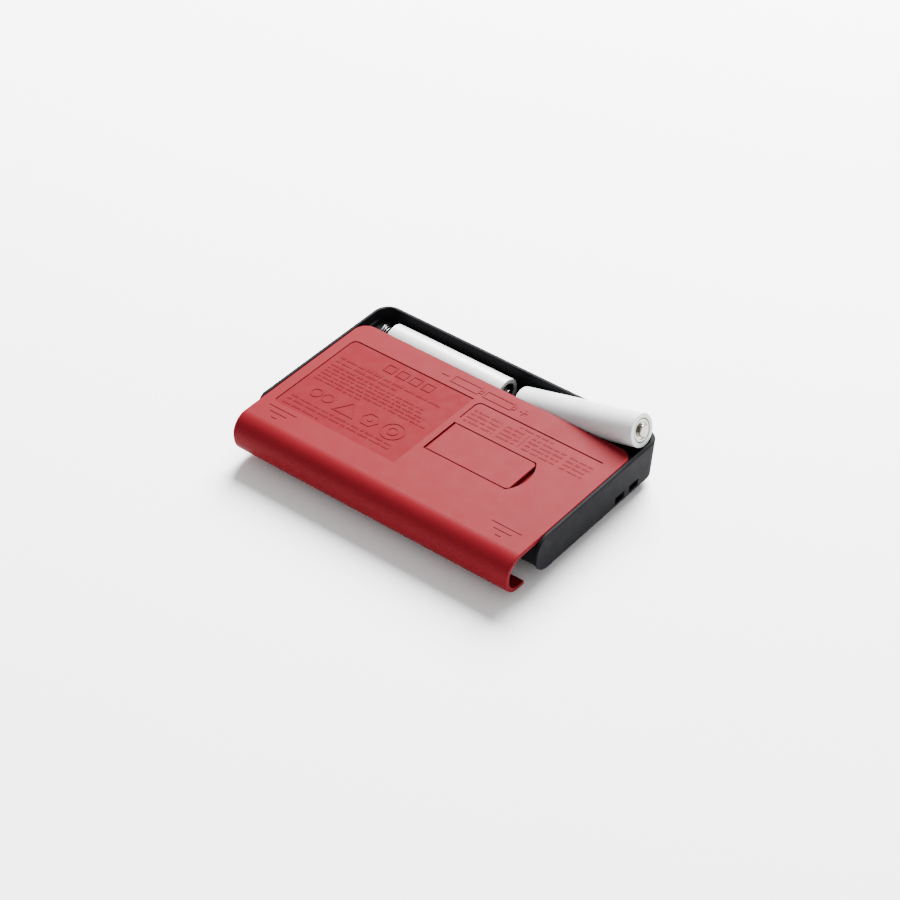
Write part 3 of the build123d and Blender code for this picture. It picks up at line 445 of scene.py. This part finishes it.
# The left panel's print, in mm: heights of its blocks, and rows as distance from the far edge and length.
LEFT_PRINT_X = -44.6
TITLE_HEIGHT, FINE_HEIGHT, NOTE_HEIGHT = 1.3, 0.85, 0.95
TITLE_ROWS = ((17.6, 38.4), (19.6, 23.1))
FINE_START, FINE_PITCH = 21.9, 1.57
FINE_LENGTHS = (35.1, 35.9, 38.4, 37.8, 40.9, 17.5)
NOTE_ROWS = ((40.2, 38.4), (41.9, 38.4), (44.0, 13.7))

# The right panel's print, in mm: each column's left edge and length, under one heading.
COLUMNS = ((2.25, 10.6), (14.25, 6.7), (23.5, 12.2), (37.0, 8.4))
COLUMN_START, COLUMN_PITCH, COLUMN_ROWS, COLUMN_HEIGHT = 12.4, 1.8, 4, 1.0
HEADING_X, HEADING_DISTANCE, HEADING_LENGTH = 17.6, 10.4, 12.8


def add_block_row(mesh, start, length, height, chance):
    """Row of small plain blocks in groups, in place of a line of print; sizes in m."""
    x, y = start
    end = x + length
    low_z, high_z = FACE_Z - RELIEF, FACE_Z + RELIEF * 0.7
    while x < end:
        for _ in range(chance.randint(2, 7)):
            width = height * chance.uniform(0.3, 0.6)
            if x + width > end:
                break
            tall = height * chance.choice((0.55, 0.6, 0.85))
            centre = (x + width / 2, y - (height - tall) / 2)
            add_block(mesh, centre, (width, tall), low_z, high_z)
            x += width + BLOCK_GAP
        x += GROUP_GAP


def make_fine_print(material):
    """Rows of blocks on the left panel and in the right panel's columns."""
    chance = random.Random(4)
    mesh = bmesh.new()
    rows = [(distance, TITLE_HEIGHT, length) for distance, length in TITLE_ROWS]
    for row, length in enumerate(FINE_LENGTHS):
        rows.append((FINE_START + FINE_PITCH * row, FINE_HEIGHT, length))
    rows += [(distance, NOTE_HEIGHT, length) for distance, length in NOTE_ROWS]
    for distance, height, length in rows:
        start = on_cover(LEFT_PRINT_X, distance)
        add_block_row(mesh, start, length * MM, height * MM, chance)
    for row in range(COLUMN_ROWS):
        for x, length in COLUMNS:
            start = on_cover(x, COLUMN_START + COLUMN_PITCH * row)
            add_block_row(mesh, start, length * MM, COLUMN_HEIGHT * MM, chance)
    start = on_cover(HEADING_X, HEADING_DISTANCE)
    add_block_row(mesh, start, HEADING_LENGTH * MM, NOTE_HEIGHT * MM, chance)
    finish_piece(mesh, "cover_fine_print", "cover", material)


def make_bay_rail(material):
    """Shallow rail along the far wall's inside, under the cover's catches, with one break."""
    thickness, height, depth_below_rim = 0.36 * MM, 0.5 * MM, 3.4 * MM
    wall_y = LABEL_HIGH.y + 0.3 * MM
    top_z = CASE_HIGH.z - depth_below_rim
    low_x, high_x = LABEL_LOW.x + 4 * MM, CASE_HIGH.x - 9 * MM
    break_low, break_high = -12 * MM, -2 * MM
    mesh = bmesh.new()
    for start, end in ((low_x, break_low), (break_high, high_x)):
        centre = ((start + end) / 2, wall_y)
        add_block(mesh, centre, (end - start, thickness), top_z - height, top_z)
    finish_piece(mesh, "bay_rail", "case", material)


SIGN_LINE = 0.36 * MM      # width of the drawn lines
SIGN_ROW = 35.2            # mm from the far edge to the middle of the row of signs
SQUARE_ROW = 13.0
SQUARE_HALF = 1.6


def add_sign_ring(mesh, x, radius, count=24):
    """Ring, or a many-sided outline, in the row of signs; sizes in mm."""
    points = circle_points(on_cover(x, SIGN_ROW), radius * MM, count)
    add_ribbon(mesh, points, SIGN_LINE, FACE_Z - RELIEF, FACE_Z + RELIEF, closed=True)


def make_pictograms(material):
    """Five plain shapes in the row of signs, and a row of squares above them."""
    mesh = bmesh.new()
    low_z, high_z = FACE_Z - RELIEF, FACE_Z + RELIEF
    for x in (-39.2, -34.8):
        add_sign_ring(mesh, x, 1.8)
    base_y, tip_y = SIGN_ROW + 2.8, SIGN_ROW - 3.0
    triangle = [on_cover(-30.7, base_y), on_cover(-23.5, base_y), on_cover(-27.1, tip_y)]
    add_ribbon(mesh, triangle, SIGN_LINE, low_z, high_z, closed=True)
    hexagon_x, target_x = -18.8, -10.2
    add_sign_ring(mesh, hexagon_x, 2.9, 6)
    add_prism(mesh, circle_points(on_cover(hexagon_x, SIGN_ROW), 0.8 * MM, 16), low_z, high_z)
    add_sign_ring(mesh, target_x, 3.6, 36)
    add_sign_ring(mesh, target_x, 1.6)
    for x in (-29.2, -24.4, -19.6, -14.8):
        corners = []
        for a, b in CORNER_SIGNS:
            corners.append(on_cover(x + a * SQUARE_HALF, SQUARE_ROW - b * SQUARE_HALF))
        add_ribbon(mesh, corners, SIGN_LINE, low_z, high_z, closed=True)
    divider = [on_cover(22.0, 12.0), on_cover(22.0, 18.4)]
    add_ribbon(mesh, divider, SIGN_LINE * 0.6, low_z, high_z - RELIEF * 0.4)
    finish_piece(mesh, "cover_pictograms", "cover", material)


# ---------------------------------------------------------------- front: key signs and the display
KEY_SIGN_HEIGHT = 0.06 * MM      # how far a key's sign stands out of its face
KEY_SIGN_ROOT = 0.04 * MM        # how far it reaches into the key


def key_sign(mesh, name, centre, low_z, high_z):
    """Plain sign on one key: a triangle, a disc, a ring or a few bars."""
    x, y = centre
    unit = 0.5 * MM
    line = 0.35 * MM
    triangles = {
        "key_tempo_up": [(-2, -1.5), (2, -1.5), (0, 2)],
        "key_tempo_down": [(-2, 1.5), (2, 1.5), (0, -2)],
        "key_start_stop": [(-2, -2), (2, 0), (-2, 2)],
    }
    if name in triangles:
        outline = [(x + a * unit, y + b * unit) for a, b in triangles[name]]
        if name == "key_tempo_down":
            outline.reverse()
        add_prism(mesh, outline, low_z, high_z)
    elif name == "key_power":
        add_prism(mesh, circle_points(centre, 2 * unit), low_z, high_z)
    elif name == "key_tap":
        add_ribbon(mesh, circle_points(centre, 3.2 * unit), line, low_z, high_z, closed=True)
    else:
        bars = {"key_beat": 2, "key_rhythm": 3, "key_tone": 4}[name]
        for bar in range(bars):
            offset = (bar - (bars - 1) / 2) * 2 * unit
            add_block(mesh, (x + offset, y), (line, (bar + 2) * unit), low_z, high_z)


def make_key_signs(material):
    """A raised sign on every key's face."""
    for name in KEY_NAMES:
        low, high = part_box(name)
        centre = ((low.x + high.x) / 2, (low.y + high.y) / 2)
        mesh = bmesh.new()
        key_sign(mesh, name, centre, low.z - KEY_SIGN_HEIGHT, low.z + KEY_SIGN_ROOT)
        finish_piece(mesh, name + "_sign", name, material)


def make_display_segments(material):
    """Faint seven-segment figures of the switched-off display."""
    mesh = bmesh.new()
    low_z, high_z = DISPLAY_LOW.z - 0.03 * MM, DISPLAY_LOW.z + 0.01 * MM
    middle_x = (WINDOW_LOW.x + WINDOW_HIGH.x) / 2
    middle_y = (WINDOW_LOW.y + WINDOW_HIGH.y) / 2
    half_height, half_width, line = 4.4 * MM, 2.2 * MM, 0.8 * MM
    spacing = 7.0 * MM
    across = (2 * half_width - line, line)
    upright = (line, half_height - 1.3 * line)
    for figure in (-1, 0, 1):
        x = middle_x + figure * spacing
        for level in (-1, 0, 1):
            add_block(mesh, (x, middle_y + level * half_height), across, low_z, high_z)
        for side in (-1, 1):
            for level in (-0.5, 0.5):
                centre = (x + side * half_width, middle_y + level * half_height)
                add_block(mesh, centre, upright, low_z, high_z)
    finish_piece(mesh, "display_segments", "case", material)


# ---------------------------------------------------------------- camera, light and floor
def aim(thing, target):
    """Turn a camera or light so that it looks at target."""
    direction = Vector(target) - thing.location
    thing.rotation_euler = direction.to_track_quat("-Z", "Y").to_euler()


CAMERA_AZIMUTH = math.radians(38.43)        # round from the front towards the right
CAMERA_ELEVATION = math.radians(40.09)
CAMERA_PLACE = (0.35331, -0.44875, 0.48350)
LENS, SENSOR = 101.2, 36.0                  # mm


def add_camera():
    """Camera at the photograph's angle."""
    data = bpy.data.cameras.new("camera")
    data.lens = LENS
    data.sensor_width = SENSOR
    camera = bpy.data.objects.new("camera", data)
    bpy.context.scene.collection.objects.link(camera)
    camera.location = CAMERA_PLACE
    level = math.cos(CAMERA_ELEVATION)
    back = Vector((
        math.sin(CAMERA_AZIMUTH) * level,
        -math.cos(CAMERA_AZIMUTH) * level,
        math.sin(CAMERA_ELEVATION),
    ))
    camera.rotation_euler = back.to_track_quat("Z", "Y").to_euler()
    bpy.context.scene.camera = camera


def add_light(name, location, size, power):
    """Round soft light aimed at the object."""
    data = bpy.data.lights.new(name, "AREA")
    data.shape = "DISK"
    data.size = size
    data.energy = power
    light = bpy.data.objects.new(name, data)
    bpy.context.scene.collection.objects.link(light)
    light.location = location
    aim(light, (0, 0, 0))


def add_floor():
    """Plain pale floor, 6 m square."""
    half = 3.0
    mesh = bmesh.new()
    corners = [(-half, -half), (half, -half), (half, half), (-half, half)]
    mesh.faces.new([mesh.verts.new((x, y, 0)) for x, y in corners])
    data = bpy.data.meshes.new("floor")
    mesh.to_mesh(data)
    mesh.free()
    floor = bpy.data.objects.new("floor", data)
    bpy.context.scene.collection.objects.link(floor)
    material, tree, shader = start_material("floor_paper", 0.8, gloss=0.2)
    paper = spread(tree, noise(tree, place(tree), 0.002), 0, 1)
    base = blend_colours(tree, paper, (0.93, 0.93, 0.93), (0.95, 0.95, 0.95))
    tree.links.new(base, shader.inputs["Base Color"])
    data.materials.append(material)


def add_world(strength):
    """Even white surroundings."""
    world = bpy.data.worlds.new("studio")
    bpy.context.scene.world = world
    world.use_nodes = True
    background = world.node_tree.nodes["Background"]
    background.inputs["Color"].default_value = (1, 1, 1, 1)
    background.inputs["Strength"].default_value = strength


def build_stage():
    """Camera, floor, even surroundings, a large key light from behind and a weak fill from the right."""
    add_camera()
    add_floor()
    add_world(0.75)
    add_light("key_light", (-0.30, 0.85, 0.85), 0.9, 140.0)
    add_light("fill_light", (0.70, -0.30, 0.35), 0.6, 1.0)


# ---------------------------------------------------------------- everything together
def build_object():
    """Give every CAD node its material and add the small pieces."""
    materials = make_materials()
    node_slots = {part["node"]: part["material_slot"] for part in frame["record"]["subparts"]}
    for name, node in frame["nodes"].items():
        for slot in node.material_slots:
            slot.material = materials[node_slots[name]]
    make_fine_print(materials["cover_plastic"])
    make_pictograms(materials["cover_plastic"])
    make_bay_rail(materials["case_plastic"])
    make_key_signs(soft_rubber("sign_pale", (0.25, 0.25, 0.25), 0.5))
    make_display_segments(soft_rubber("segment_grey", (0.02, 0.022, 0.018), 0.3))


build_object()
build_stage()
